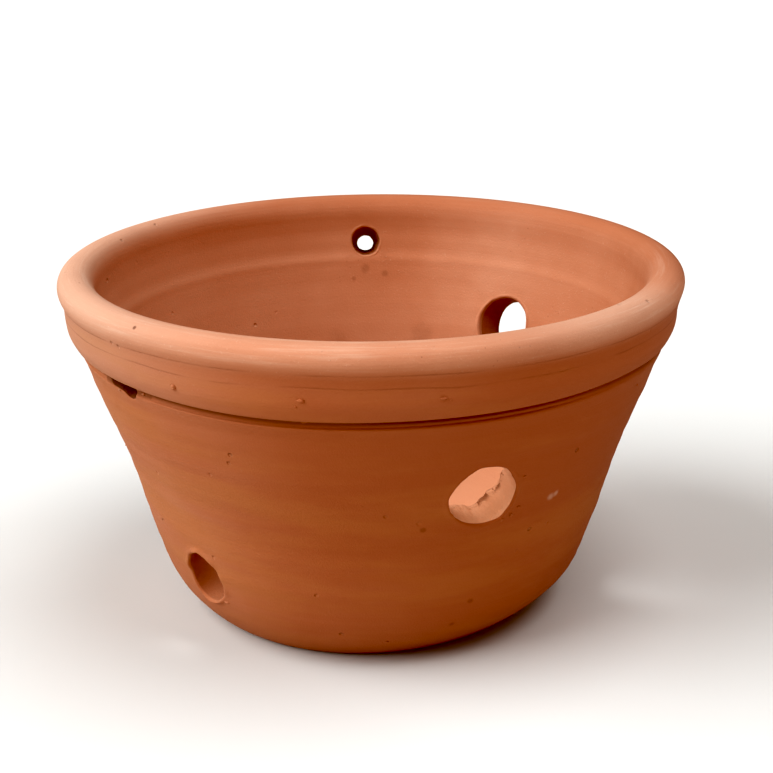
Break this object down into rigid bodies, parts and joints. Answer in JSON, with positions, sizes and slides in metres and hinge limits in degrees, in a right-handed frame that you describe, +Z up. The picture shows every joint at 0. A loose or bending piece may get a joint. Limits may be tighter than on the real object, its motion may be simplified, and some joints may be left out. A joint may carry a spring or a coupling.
{
  "type": "terracotta pot",
  "caption": "Wide, low unglazed terracotta pot with a rolled lip over a raised band, large round air holes in the flared wall and small holes under the band for hanging wires.",
  "frame": {"origin": "centre of the flat base, on the surface the pot stands on", "axes": "+Z up through the mouth; -Y is the front, between the low air hole and the upper air hole; +X to the right seen from the front"},
  "size_m": [0.2, 0.2, 0.1135],
  "materials": {
    "terracotta": "matte, unglazed and slightly mottled"
  },
  "bodies": {
    "root": {"pot": "terracotta"}
  },
  "joints": []
}
